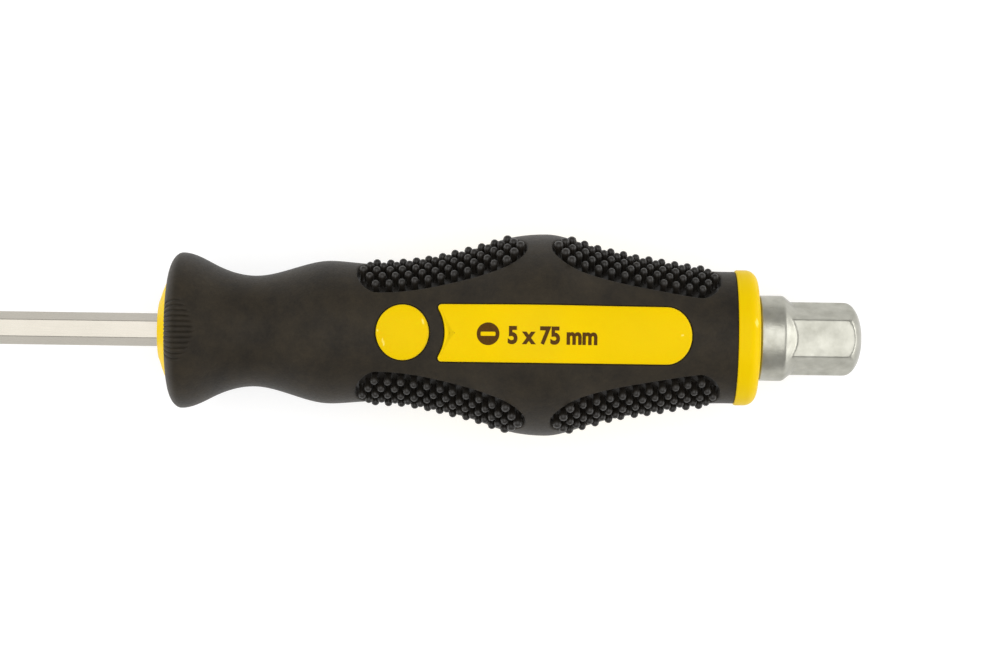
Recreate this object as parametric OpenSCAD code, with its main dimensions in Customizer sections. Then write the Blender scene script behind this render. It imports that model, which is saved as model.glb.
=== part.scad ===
// Strike-through slotted screwdriver with a soft three-component grip.
// The tool's axis is X. The origin is the middle of the slotted tip's end face, +X runs along the
// tool to the strike cap, and +Z leaves through the middle of the top size panel. Millimetres.

/* [Blade] */
// Width across the flats of the hexagonal bar
blade_af = 5; // [4:0.5:6]
// Bare blade, from the tip to the nose of the handle
blade_len = 75; // [50:5:150]
// Width of the slotted tip
tip_w = 5; // [3:0.5:5]
// Thickness of the slotted tip at its end
tip_t = 0.8; // [0.5:0.1:1.2]

/* [Grip outline] */
// Handle, from the nose face to the back of the butt ring
handle_len = 103; // [99:1:112]
// Radius of the flared head behind the nose
head_r = 13.4; // [12.5:0.05:14.5]
// Radius of the waist behind the head
waist_r = 9.55; // [9.2:0.05:10.5]
// Radius of the hump behind the waist
hump_r = 12.3; // [11.8:0.1:13]
// Radius of the hollow between the hump and the belly
valley_r = 11.8; // [11.4:0.1:12.4]
// Radius of the belly, the widest place
belly_r = 17.35; // [16:0.05:19]
// Radius of the neck in front of the butt ring
neck_r = 11.35; // [11:0.05:12]
// Thickness of the soft sleeve
sleeve_t = 2.4; // [2.2:0.1:2.8]

/* [Panels and inlays] */
// Width of a size panel
panel_w = 9.8; // [8:0.1:10.5]
// How far panels and inlays stand above the sleeve
panel_proud = 0.15; // [0:0.05:0.3]
// Open joint around each panel and inlay
joint_gap = 0.15; // [0.1:0.05:0.3]

/* [Pimpled pads] */
// Length of a pad
pad_len = 29; // [26:0.2:30]
// Width of a pad
pad_w = 9.8; // [9:0.1:10.4]
// Depth of the pad's floor below the sleeve's surface
pad_sunk = 1.25; // [0.8:0.05:1.25]
// Pins in the middle row of a pad; each row further out has one pin fewer
pad_pins = 13; // [9:1:13]
// Height of a pin over the pad's floor
pin_h = 2.3; // [1.6:0.1:2.6]
// Diameter of a pin's head
pin_d = 1.42; // [1:0.02:1.5]

/* [Strike cap] */
// Width across the flats of the cap's hexagon
cap_af = 11; // [10:0.5:12]
// Diameter of the cap's round collar
collar_d = 14.7; // [14.6:0.1:16]
// Length of the cap behind the butt ring
cap_len = 17.8; // [16:0.1:22]

/* [Hidden] */
$fn = 96;

// Turns about the tool's axis: panels sit on top and 120 degrees to each side, pads in between.
TOP = 0;
LEFT = 120;
RIGHT = 240;
PAD_LEFT = 60;
PAD_BOTTOM = 180;
PAD_RIGHT = 300;

// Places along the handle are given for a handle of 103 and stretch with it.
k = handle_len / 103;
nose_rim_x = 1.65 * k;  // front edge of the sleeve on the nose collar
core_x0 = 3.4 * k;      // front of the core
crest_x = 3.95 * k;     // widest place of the head
ring_x = 98.9 * k;      // front of the butt ring
front_pad_x = 48.55 * k; // middle of a front pad
rear_pad_x = 81.7 * k;   // middle of a rear pad
oval_x = 42.15 * k;     // middle of an oval inlay
panel_x0 = 49.3 * k;    // middle of a panel's hollow front end
panel_x1 = 91 * k;      // back end of a panel

nose_rim_r = 9.2;  // radius where the sleeve meets the nose collar
nose_face_r = 5.2; // radius of the collar's flat face
spigot_r = 6.5;    // of the collar and the ring, inside the core
spigot_len = 7;
ring_proud = 0.3;  // of the butt ring over the neck
ring_r = neck_r + ring_proud;
pad_cut = 1.7;     // depth of the pocket that a pad fills
pin_row_step = 1.8;
pin_step = 2.22;
pin_root = 0.4;    // length of a pin inside the pad's floor
tang_in_cap = 11;
reach = 60;        // further out than any part of the handle

function mix(a, b, t) = a + (b - a) * t;

// ---- Outline of the grip ----
// Each station is [place, radius, slope]; a cubic joins each to the next.
stations = [
  [crest_x, head_r, 0],
  [9.2 * k, mix(waist_r, head_r, 0.51), -(head_r - waist_r) / 7.4],
  [16.4 * k, waist_r, 0],
  [23.2 * k, mix(waist_r, hump_r, 0.53), (hump_r - waist_r) / 8.9],
  [29.4 * k, hump_r, 0],
  [37.5 * k, valley_r, 0],
  [48 * k, mix(valley_r, belly_r, 0.23), (belly_r - valley_r) / 23],
  [56.8 * k, mix(valley_r, belly_r, 0.69), (belly_r - valley_r) / 14],
  [66.4 * k, belly_r, 0],
  [74 * k, mix(neck_r, belly_r, 0.675), -(belly_r - neck_r) / 18],
  [85 * k, mix(neck_r, belly_r, 0.25), -(belly_r - neck_r) / 33],
  [95.8 * k, neck_r, -0.02],
  [ring_x, neck_r, 0.02]
];

function cubic(a, b, x) =
  let (h = b[0] - a[0], t = (x - a[0]) / h, u = 1 - t)
  u * u * (1 + 2 * t) * a[1] + u * u * t * h * a[2]
  + t * t * (1 + 2 * u) * b[1] - t * t * u * h * b[2];

// The head's front edge is a quarter of an ellipse, from the nose rim up to the crest.
function front_edge_r(x) =
  let (t = (crest_x - x) / (crest_x - nose_rim_x))
  nose_rim_r + (head_r - nose_rim_r) * sqrt(max(0, 1 - t * t));

function station_before(x, i = 0) =
  i + 2 >= len(stations) || x <= stations[i + 1][0] ? i : station_before(x, i + 1);

function grip_r(x) =
  x < crest_x ? front_edge_r(x)
  : let (i = station_before(x)) cubic(stations[i], stations[i + 1], x);

bands = 64; // conical bands along the core and the sleeve
band_x = [for (i = [0:bands]) mix(core_x0, ring_x, i / bands)];
function line_along(x0, x1, drop) =
  [for (x = band_x) if (x >= x0 && x <= x1) [x, grip_r(x) - drop]];
function backwards(points) = [for (i = [len(points) - 1:-1:0]) points[i]];

// ---- Outlines seen from above, in the handle's own place along X ----
function ellipse_arc(x, y, a, b, from, to, steps) =
  [for (i = [0:steps]) let (t = mix(from, to, i / steps)) [x + a * cos(t), y + b * sin(t)]];

panel_hollow_r = 8; // radius of a panel's hollow front end
panel_corner_r = 0.6;
panel_round = 4.3;    // length of a panel's rounded back end
function panel_outline(grow) =
  let (
    w = panel_w / 2 + grow,
    c = panel_corner_r + grow,
    hollow = panel_hollow_r - grow,
    hollow_x = panel_x0 - panel_hollow_r,
    corner_x = hollow_x + sqrt(pow(hollow + c, 2) - pow(w - c, 2)),
    lean = atan2(w - c, corner_x - hollow_x)
  )
  concat(
    ellipse_arc(panel_x1 - panel_round, 0, panel_round + grow, w, -90, 90, 20),
    ellipse_arc(corner_x, w - c, c, c, 90, 180 + lean, 5),
    ellipse_arc(hollow_x, 0, hollow, hollow, 0.8 * lean, -0.8 * lean, 10),
    ellipse_arc(corner_x, c - w, c, c, 180 - lean, 270, 5)
  );

oval_along = 4.5; // half sizes of an oval inlay
oval_across = 4.75;
function oval_outline(grow) =
  ellipse_arc(oval_x, 0, oval_along + grow, oval_across + grow, 0, 350, 35);

// A pad ends in a longer half ellipse towards the belly and a shorter one away from it.
belly_end = 5.6;
outer_end = 3.8;
function pad_outline() = concat(
  ellipse_arc(pad_len / 2 - belly_end, 0, belly_end, pad_w / 2, -90, 90, 16),
  ellipse_arc(outer_end - pad_len / 2, 0, outer_end, pad_w / 2, 90, 270, 14)
);

// ---- Building blocks ----
// Turns a line of [place along X, radius] points into a solid around the axis.
module lathe(points) {
  rotate([0, 90, 0])
    rotate_extrude()
      polygon([for (p = points) [p[1], p[0]]]);
}

// A hexagonal bar with flats above and below, and corners to both sides.
module hex_bar(af, x0, x1) {
  translate([x0, 0, 0])
    rotate([0, 90, 0])
      rotate([0, 0, 90])
        cylinder(d = af / cos(30), h = x1 - x0, $fn = 6);
}

module in_handle() {
  translate([blade_len, 0, 0]) children();
}

// Skin of the grip between two depths, over the stretch x0 to x1.
module grip_skin(x0, x1, deep, shallow) {
  lathe(concat(line_along(x0, x1, deep), backwards(line_along(x0, x1, shallow))));
}

module cookie(outline) {
  linear_extrude(height = reach) polygon(outline);
}

// ---- Steel ----
tip_flat = 1.5;      // parallel stretch of the ground tip
grind_r = 62;        // radius of the hollow ground cheeks
shoulder_x = 9;      // where the tip's sides reach the full bar
wing_x = [38, 52];   // pinched wings that lock the tang in the core
wing_len = 9;
wing_w = 8.6;
wing_t = 1.4;

module tip_sides() {
  corner = blade_af / cos(30) / 2;
  linear_extrude(height = reach, center = true)
    polygon([
      [0, -tip_w / 2], [tip_flat, -tip_w / 2], [shoulder_x, -corner], [reach * 5, -corner],
      [reach * 5, corner], [shoulder_x, corner], [tip_flat, tip_w / 2], [0, tip_w / 2]
    ]);
}

module tang() {
  hex_bar(blade_af, -blade_len, handle_len + tang_in_cap);
  for (x = wing_x)
    translate([x * k, -wing_w / 2, -wing_t / 2]) cube([wing_len, wing_w, wing_t]);
}

module blade() {
  color("silver")
    difference() {
      intersection() {
        in_handle() tang();
        union() {
          tip_sides();
          in_handle()
            translate([0, -reach / 2, -reach / 2]) cube([reach * 3, reach, reach]);
        }
      }
      for (side = [1, -1])
        translate([0, 0, side * (tip_t / 2 + grind_r)])
          rotate([90, 0, 0])
            cylinder(r = grind_r, h = reach, center = true, $fn = 360);
    }
}

collar_len = 4.5;
collar_edge = 0.4;   // chamfer at the butt ring
shoulder_len = 0.65; // rounded step from the collar into the cone
cone_angle = 40;     // of the cone's side to the axis
cap_corner = cap_af / cos(30) / 2;
dome_len = 3.6;      // length of the rounded end
dome_r = cap_corner + 0.1;
dome_power = 2.2;    // 2 rounds the end as an ellipse does, more makes it blunter
module cap_dome() {
  x0 = handle_len + cap_len - dome_len;
  steps = 14;
  lathe([
    [handle_len, 0], [handle_len, dome_r],
    for (i = [0:steps])
      let (t = mix(84, 4, i / steps))
      [x0 + dome_len * pow(cos(t), 2 / dome_power), dome_r * pow(sin(t), 2 / dome_power)],
    [x0 + dome_len, 0.12 * dome_r], [x0 + dome_len, 0]
  ]);
}

module strike_cap() {
  r = collar_d / 2;
  x = handle_len;
  bend_x = x + collar_len - shoulder_len;
  bend_r = shoulder_len / sin(cone_angle);
  cone_r = r - bend_r * (1 - cos(cone_angle));
  cone_len = (cone_r - cap_af / 2 + 0.1) / tan(cone_angle);
  color("gainsboro")
    in_handle()
      difference() {
        union() {
          lathe([
            [x, 0], [x, r - collar_edge], [x + collar_edge, r],
            for (a = [0:10:cone_angle]) [bend_x + bend_r * sin(a), r - bend_r * (1 - cos(a))],
            [x + collar_len + cone_len, cap_af / 2 - 0.1], [x + collar_len + cone_len, 0]
          ]);
          intersection() {
            hex_bar(cap_af, x + collar_len - 1, x + cap_len + 1);
            cap_dome();
          }
        }
        hex_bar(blade_af, x - 1, x + tang_in_cap);
      }
}

// ---- Hard plastic ----
module nose_collar() {
  color("gold")
    in_handle()
      difference() {
        lathe([
          [0, 0], [0, nose_face_r], [0.48 * nose_rim_x, mix(nose_face_r, nose_rim_r, 0.5)],
          [nose_rim_x, nose_rim_r], [core_x0, nose_rim_r], [core_x0, spigot_r],
          [core_x0 + spigot_len, spigot_r], [core_x0 + spigot_len, 0]
        ]);
        hex_bar(blade_af, -1, core_x0 + spigot_len + 1);
      }
}

module butt_ring() {
  rounding = 2.1;
  round_x = handle_len - rounding - 0.3;
  color("gold")
    in_handle()
      difference() {
        lathe([
          [ring_x - spigot_len, 0], [ring_x - spigot_len, spigot_r], [ring_x, spigot_r],
          [ring_x, ring_r - 0.15], [ring_x + 0.15, ring_r],
          for (p = ellipse_arc(round_x, ring_r - rounding, rounding, rounding, 90, 10, 6)) p,
          [handle_len, collar_d / 2], [handle_len, 0]
        ]);
        hex_bar(blade_af, ring_x - spigot_len - 1, handle_len + 1);
      }
}

module handle_core() {
  color("goldenrod")
    in_handle()
      difference() {
        lathe(concat([[core_x0, 0]], line_along(core_x0, ring_x, sleeve_t), [[ring_x, 0]]));
        lathe([
          [core_x0 - 1, 0], [core_x0 - 1, spigot_r],
          [core_x0 + spigot_len, spigot_r], [core_x0 + spigot_len, 0]
        ]);
        lathe([
          [ring_x - spigot_len, 0], [ring_x - spigot_len, spigot_r],
          [ring_x + 1, spigot_r], [ring_x + 1, 0]
        ]);
        tang();
      }
}

// Fills a window of the sleeve, from the core to just over the sleeve's surface.
module inlay(outline, x0, x1, turn) {
  color("gold")
    in_handle()
      rotate([turn, 0, 0])
        intersection() {
          grip_skin(x0, x1, sleeve_t, -panel_proud);
          cookie(outline);
        }
}

module size_panel(turn) {
  inlay(panel_outline(0), panel_x0 - 6, panel_x1 + 4, turn);
}

module oval_inlay(turn) {
  inlay(oval_outline(0), oval_x - 8, oval_x + 8, turn);
}

// ---- Soft plastic ----
rib_count = 12;
rib_angle = 4;      // between two ribs' grooves
rib_depth = 0.25;
rib_width = 0.35;
function rib_end(a) = mix(7 * k, 4.9 * k, pow(a / 22, 2));

// Thin plate that cuts one groove over the head's front edge.
module rib_cut(a) {
  xs = [for (i = [1:8]) mix(nose_rim_x, rib_end(a), i / 8)];
  rotate([a, 0, 0])
    rotate([90, 0, 0])
      linear_extrude(height = rib_width, center = true)
        polygon(concat(
          [for (x = xs) [x, grip_r(x) - rib_depth * (x < xs[7] ? 1 : 0)]],
          [[xs[7], head_r + 1], [nose_rim_x - 1, head_r + 1], [nose_rim_x - 1, grip_r(xs[0]) - 1]]
        ));
}

module pad_place(x, turn, flip) {
  rotate([turn, 0, 0])
    translate([x, 0, 0])
      mirror([flip ? 1 : 0, 0, 0])
        children();
}

module grip_sleeve() {
  front_edge = [for (i = [0:7]) let (x = mix(nose_rim_x, core_x0, i / 8)) [x, grip_r(x)]];
  color([0.2, 0.19, 0.17])
    in_handle()
      difference() {
        lathe(concat(
          [[core_x0, nose_rim_r]],
          front_edge,
          line_along(core_x0, ring_x, 0),
          backwards(line_along(core_x0, ring_x, sleeve_t))
        ));
        for (turn = [TOP, LEFT, RIGHT])
          rotate([turn, 0, 0]) {
            cookie(panel_outline(joint_gap));
            cookie(oval_outline(joint_gap));
            for (i = [0:rib_count - 1]) rib_cut((i - (rib_count - 1) / 2) * rib_angle);
          }
        for (turn = [PAD_LEFT, PAD_BOTTOM, PAD_RIGHT]) {
          pocket(front_pad_x, turn, false);
          pocket(rear_pad_x, turn, true);
        }
      }
}

// Room for a pad: everything within its outline, down to the pocket's floor.
module pocket(x, turn, flip) {
  intersection() {
    pad_place(x, turn, flip) cookie(pad_outline());
    grip_skin(x - pad_len / 2 - 4, x + pad_len / 2 + 4, pad_cut, -2);
  }
}

module pin(x, s) {
  r = grip_r(x);
  head = pin_d / 2;
  neck = 0.78 * head;
  top = pin_root + pin_h;
  rotate([s / r * 180 / PI, 0, 0])
    translate([x, 0, r - pad_sunk - pin_root])
      rotate_extrude($fn = 24)
        polygon([
          [0, 0], [neck, 0], [neck, 0.45 * top], [head, top - head],
          [0.75 * head, top - 0.34 * head], [0.3 * head, top], [0, top]
        ]);
}

module pad(x, turn, flip) {
  color([0.13, 0.13, 0.12])
    in_handle() {
      intersection() {
        pad_place(x, turn, flip) cookie(pad_outline());
        grip_skin(x - pad_len / 2 - 4, x + pad_len / 2 + 4, pad_cut, pad_sunk);
      }
      for (row = [-2:2])
        let (count = pad_pins - abs(row))
        for (i = [0:count - 1])
          rotate([turn, 0, 0])
            pin(x + (i - (count - 1) / 2) * pin_step, row * pin_row_step);
    }
}

module front_pad(turn) {
  pad(front_pad_x, turn, false);
}

module rear_pad(turn) {
  pad(rear_pad_x, turn, true);
}

blade();
strike_cap();
nose_collar();
butt_ring();
handle_core();
grip_sleeve();
size_panel(TOP);  // size_panel_top
size_panel(LEFT);  // size_panel_left
size_panel(RIGHT);  // size_panel_right
oval_inlay(TOP);  // oval_inlay_top
oval_inlay(LEFT);  // oval_inlay_left
oval_inlay(RIGHT);  // oval_inlay_right
front_pad(PAD_LEFT);  // front_pad_left
front_pad(PAD_BOTTOM);  // front_pad_bottom
front_pad(PAD_RIGHT);  // front_pad_right
rear_pad(PAD_LEFT);  // rear_pad_left
rear_pad(PAD_BOTTOM);  // rear_pad_bottom
rear_pad(PAD_RIGHT);  // rear_pad_right
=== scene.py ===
"""Strike-through slotted screwdriver: detailed pieces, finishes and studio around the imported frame.

Every piece is modelled in millimetres in the handle's own place, where X starts at the nose
face, and is moved into the frame in metres when it is finished.
"""

import logging
import math
import random
from dataclasses import dataclass, field
from enum import Enum
from functools import cached_property
from typing import Any, Protocol, Sequence

import bmesh
import bpy
from mathutils import Matrix, Vector


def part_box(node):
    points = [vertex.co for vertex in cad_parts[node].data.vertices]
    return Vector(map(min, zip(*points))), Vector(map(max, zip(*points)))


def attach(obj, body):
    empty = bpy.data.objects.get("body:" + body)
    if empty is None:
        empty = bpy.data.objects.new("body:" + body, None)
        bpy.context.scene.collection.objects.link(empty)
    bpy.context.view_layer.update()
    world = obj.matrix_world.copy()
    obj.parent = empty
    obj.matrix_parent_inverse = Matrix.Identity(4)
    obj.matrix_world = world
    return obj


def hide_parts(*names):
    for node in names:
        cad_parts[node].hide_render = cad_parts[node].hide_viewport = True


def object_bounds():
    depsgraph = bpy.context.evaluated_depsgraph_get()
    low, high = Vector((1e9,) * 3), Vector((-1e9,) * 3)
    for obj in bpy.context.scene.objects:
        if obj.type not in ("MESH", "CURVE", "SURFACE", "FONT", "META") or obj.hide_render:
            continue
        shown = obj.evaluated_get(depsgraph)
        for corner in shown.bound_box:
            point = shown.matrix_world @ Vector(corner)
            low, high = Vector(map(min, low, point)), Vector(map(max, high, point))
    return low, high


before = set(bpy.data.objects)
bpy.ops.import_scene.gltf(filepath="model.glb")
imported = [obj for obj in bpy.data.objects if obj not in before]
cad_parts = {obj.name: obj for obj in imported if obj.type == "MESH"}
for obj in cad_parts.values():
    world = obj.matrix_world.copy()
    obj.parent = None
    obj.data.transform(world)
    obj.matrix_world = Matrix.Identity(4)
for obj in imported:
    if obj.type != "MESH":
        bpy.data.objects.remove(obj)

log = logging.getLogger("screwdriver")

CAD_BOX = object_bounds()
MM = 0.001
BLADE_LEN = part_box("nose_collar")[0].x / MM
HANDLE_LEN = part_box("butt_ring")[1].x / MM - BLADE_LEN
CAP_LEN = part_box("strike_cap")[1].x / MM - BLADE_LEN - HANDLE_LEN

Flat = tuple[float, float]


class Slot(Enum):
    """Material slots of the record."""

    BLADE = "blade_steel"
    CAP = "cap_steel"
    YELLOW = "yellow_plastic"
    SOFT = "soft_black"
    PAD = "pad_black"


class Turn(Enum):
    """Turns about the tool's axis, in degrees; panels and ovals use the first three."""

    TOP = 0
    LEFT = 120
    RIGHT = 240
    PAD_LEFT = 60
    PAD_BOTTOM = 180
    PAD_RIGHT = 300


# ---------------------------------------------------------------------------
# Small helpers
# ---------------------------------------------------------------------------
def mix(a: float, b: float, t: float) -> float:
    """Return the value a share t of the way from a to b."""
    return a + (b - a) * t


def steps(start: float, stop: float, count: int) -> list[float]:
    """Return count + 1 even steps from start to stop."""
    return [mix(start, stop, i / count) for i in range(count + 1)]


def ease(t: float) -> float:
    """Return t bent into a slow start and a slow end."""
    t = min(1.0, max(0.0, t))
    return t * t * (3 - 2 * t)


def srgb(code: str) -> tuple[float, float, float, float]:
    """Turn an sRGB hex colour into a linear one.

    Args:
        code: Six hexadecimal digits after a hash sign.

    Returns:
        Linear red, green and blue, and an alpha of one.
    """
    channels = [int(code[i : i + 2], 16) / 255 for i in (1, 3, 5)]
    linear = [c / 12.92 if c <= 0.04045 else ((c + 0.055) / 1.055) ** 2.4 for c in channels]
    return (*linear, 1.0)


def polar(x: float, r: float, angle: float) -> Vector:
    """Return the place at x, at radius r and at an angle in degrees from the top."""
    a = math.radians(angle)
    return Vector((x, r * math.sin(a), r * math.cos(a)))


def loft(bm: bmesh.types.BMesh, rows: Sequence[Sequence[Vector]], closed: bool = False) -> None:
    """Draw the first row as a chain of edges and extrude the chain from row to row.

    Args:
        bm: Mesh that the surface is added to.
        rows: Places of the chain's vertices at each step, all rows equally long.
        closed: Whether each chain closes into a ring.
    """
    chain = [bm.verts.new(place) for place in rows[0]]
    pairs = list(zip(chain, chain[1:]))
    if closed:
        pairs.append((chain[-1], chain[0]))
    edges = [bm.edges.new(pair) for pair in pairs]
    for row in rows[1:]:
        made = bmesh.ops.extrude_edge_only(bm, edges=edges)["geom"]
        fresh = {v for v in made if isinstance(v, bmesh.types.BMVert)}
        edges = [e for e in made if isinstance(e, bmesh.types.BMEdge) and fresh.issuperset(e.verts)]
        chain = [next(o for e in v.link_edges if (o := e.other_vert(v)) in fresh) for v in chain]
        for vert, place in zip(chain, row):
            vert.co = place


def weld(bm: bmesh.types.BMesh, reach: float = 1e-3) -> None:
    """Merge the vertices that lie on each other and turn all faces outwards."""
    bmesh.ops.remove_doubles(bm, verts=bm.verts, dist=reach)
    bmesh.ops.recalc_face_normals(bm, faces=bm.faces)


def mirror_half(bm: bmesh.types.BMesh) -> None:
    """Complete a half that ends on the plane through the axis and the top."""
    geom = [*bm.verts, *bm.edges, *bm.faces]
    bmesh.ops.mirror(bm, geom=geom, matrix=Matrix.Identity(4), merge_dist=1e-3, axis="Y")
    weld(bm)


def add_copy(bm: bmesh.types.BMesh, part: bmesh.types.BMesh, place: Matrix) -> None:
    """Add a copy of a part to a mesh, turned and moved by a matrix."""
    copy = bpy.data.meshes.new("copy")
    part.to_mesh(copy)
    copy.transform(place)
    bm.from_mesh(copy)
    bpy.data.meshes.remove(copy)


def turned(turn: Turn) -> Matrix:
    """Return the matrix that turns a part about the tool's axis."""
    return Matrix.Rotation(math.radians(turn.value), 4, "X")


def finish_piece(
    bm: bmesh.types.BMesh,
    name: str,
    material: bpy.types.Material,
    nodes: Sequence[str],
    crease: float,
) -> None:
    """Turn a mesh in handle millimetres into a dressed piece of the frame.

    Args:
        bm: The finished mesh, which is freed.
        name: Name of the piece.
        material: Its material.
        nodes: CAD nodes that the piece stands for.
        crease: Angle in degrees from which an edge stays sharp.
    """
    weld(bm)
    for face in bm.faces:
        face.smooth = True
    for edge in bm.edges:
        edge.smooth = len(edge.link_faces) == 2 and edge.calc_face_angle(0.0) < math.radians(crease)
    bm.transform(Matrix.Scale(MM, 4) @ Matrix.Translation((BLADE_LEN, 0, 0)))
    mesh = bpy.data.meshes.new(name)
    bm.to_mesh(mesh)
    bm.free()
    mesh.materials.append(material)
    piece = bpy.data.objects.new(name, mesh)
    bpy.context.scene.collection.objects.link(piece)
    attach(piece, "root")
    if nodes:
        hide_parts(*nodes)
    log.info("%s: %d faces", name, len(mesh.polygons))


# ---------------------------------------------------------------------------
# Finishes
# ---------------------------------------------------------------------------
def add_node(
    tree: bpy.types.NodeTree, kind: str, inputs: dict[Any, Any] | None = None, **settings: Any
) -> bpy.types.Node:
    """Add a node with its settings, and set or link its inputs.

    Args:
        tree: Node tree of the material.
        kind: Type name of the node.
        inputs: Value or output socket for each input that isn't left at its default.
        **settings: Properties of the node itself.

    Returns:
        The new node.
    """
    node = tree.nodes.new(kind)
    for name, value in settings.items():
        setattr(node, name, value)
    for name, value in (inputs or {}).items():
        if isinstance(value, bpy.types.NodeSocket):
            tree.links.new(value, node.inputs[name])
        else:
            node.inputs[name].default_value = value
    return node


def mixed(tree: bpy.types.NodeTree, share: Any, a: Any, b: Any, colour: bool = True) -> bpy.types.NodeSocket:
    """Return the mix of two colours or of two numbers, each a value or a socket.

    Args:
        tree: Node tree of the material.
        share: How much of b there is.
        a: Colour or number at a share of nought.
        b: Colour or number at a share of one.
        colour: Whether they are colours.

    Returns:
        The socket of the mix.
    """
    # The mix node's inputs share their names, so they are called by number.
    inputs = {0: share, 6: a, 7: b} if colour else {0: share, 2: a, 3: b}
    node = add_node(tree, "ShaderNodeMix", inputs, data_type="RGBA" if colour else "FLOAT")
    return node.outputs[2 if colour else 0]


def per_metre(size_mm: float) -> float:
    """Return the scale of a pattern whose features are size_mm apart."""
    return 1 / (size_mm * MM)


@dataclass(frozen=True)
class Finish:
    """A real material and how its surface was made."""

    name: str
    colour: str
    shade: str
    roughness: tuple[float, float]
    grain_mm: float
    relief_mm: float
    relief_strength: float = 1.0
    stretch: tuple[float, float, float] = (1.0, 1.0, 1.0)
    patch_mm: float = 12.0
    speckle: float = 0.6
    specular: float = 0.5

    def shader_inputs(self) -> dict[str, Any]:
        """Return the values that are the same all over the surface."""
        return {}

    def noise(
        self,
        tree: bpy.types.NodeTree,
        place: bpy.types.NodeSocket,
        size_mm: float,
        detail: float,
        rough: float = 0.6,
    ) -> bpy.types.NodeSocket:
        """Return a noise whose features are size_mm apart, stretched to run over its whole range."""
        drawn = add_node(
            tree,
            "ShaderNodeTexNoise",
            {"Vector": place, "Scale": per_metre(size_mm), "Detail": detail, "Roughness": rough},
        )
        wide = {"Value": drawn.outputs["Fac"], "From Min": 0.3, "From Max": 0.7}
        return add_node(tree, "ShaderNodeMapRange", wide).outputs["Result"]

    def pits(self, tree: bpy.types.NodeTree, place: bpy.types.NodeSocket) -> bpy.types.NodeSocket:
        """Return the height of the surface's grain."""
        return self.noise(tree, place, self.grain_mm, 3.0)

    def tone(self, tree: bpy.types.NodeTree, place: bpy.types.NodeSocket) -> bpy.types.NodeSocket:
        """Return the colour, which varies in patches."""
        patch = self.noise(tree, place, self.patch_mm, 6.0, self.speckle)
        return mixed(tree, patch, srgb(self.shade), srgb(self.colour))

    def material(self) -> bpy.types.Material:
        """Build the material: tone and gloss vary in patches, and the grain stands in relief."""
        made = bpy.data.materials.new(self.name)
        made.use_nodes = True
        tree = made.node_tree
        tree.nodes.clear()
        place = add_node(tree, "ShaderNodeTexCoord").outputs["Object"]
        drawn = add_node(tree, "ShaderNodeMapping", {"Vector": place, "Scale": self.stretch})
        grain = self.pits(tree, drawn.outputs["Vector"])
        low, high = self.roughness
        gloss = add_node(tree, "ShaderNodeMapRange", {"Value": grain, "To Min": low, "To Max": high})
        relief = add_node(
            tree,
            "ShaderNodeBump",
            {"Height": grain, "Distance": self.relief_mm * MM, "Strength": self.relief_strength},
        )
        shader = add_node(
            tree,
            "ShaderNodeBsdfPrincipled",
            {
                "Base Color": self.tone(tree, place),
                "Roughness": gloss.outputs["Result"],
                "Normal": relief.outputs["Normal"],
                "Specular IOR Level": self.specular,
                **self.shader_inputs(),
            },
        )
        add_node(tree, "ShaderNodeOutputMaterial", {"Surface": shader.outputs["BSDF"]})
        return made


@dataclass(frozen=True)
class PlatedSteel(Finish):
    """Chrome-vanadium steel with a satin nickel plating over a drawn surface."""

    def shader_inputs(self) -> dict[str, Any]:
        """Metal all over; its index stays at the default."""
        return {"Metallic": 1.0}


@dataclass(frozen=True)
class ForgedSteel(PlatedSteel):
    """The same steel, forged and blasted: fine pits on the low waves that the die left."""

    wave_mm: float = 2.6
    wave_share: float = 0.8

    def pits(self, tree: bpy.types.NodeTree, place: bpy.types.NodeSocket) -> bpy.types.NodeSocket:
        """Return the height of the pits and waves together."""
        fine = super().pits(tree, place)
        wave = self.noise(tree, place, self.wave_mm, 1.0)
        return mixed(tree, self.wave_share, fine, wave, colour=False)


@dataclass(frozen=True)
class Polypropylene(Finish):
    """Injection-moulded polypropylene: even colour, a soft sheen and light that sinks in a little."""

    ior: float = 1.49
    # Paler colour painted along the sharply bent edges: a painted highlight, not wear.
    edge_highlight: str = ""
    edge_highlight_from: float = 0.53
    edge_highlight_to: float = 0.62

    def shader_inputs(self) -> dict[str, Any]:
        """A little light scatters under the surface."""
        return {
            "IOR": self.ior,
            "Subsurface Weight": 0.12,
            "Subsurface Radius": (1.0, 0.5, 0.1),
            "Subsurface Scale": 0.6 * MM,
        }

    def tone(self, tree: bpy.types.NodeTree, place: bpy.types.NodeSocket) -> bpy.types.NodeSocket:
        """Return the colour, with a painted highlight: paler where the edges bend sharply."""
        even = super().tone(tree, place)
        if not self.edge_highlight:
            return even
        # Painted highlight: the more sharply an edge bends, the more of the paler colour it gets.
        bend = add_node(tree, "ShaderNodeNewGeometry").outputs["Pointiness"]
        edge = {"Value": bend, "From Min": self.edge_highlight_from, "From Max": self.edge_highlight_to}
        share = add_node(tree, "ShaderNodeMapRange", edge).outputs["Result"]
        return mixed(tree, share, even, srgb(self.edge_highlight))


@dataclass(frozen=True)
class Elastomer(Finish):
    """Moulded thermoplastic elastomer from a spark-eroded mould: matte, with a faint bloom."""

    ior: float = 1.5
    sheen: float = 0.06

    def shader_inputs(self) -> dict[str, Any]:
        """Fine surface fuzz of a soft elastomer."""
        return {"IOR": self.ior, "Sheen Weight": self.sheen, "Sheen Roughness": 0.5}


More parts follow.
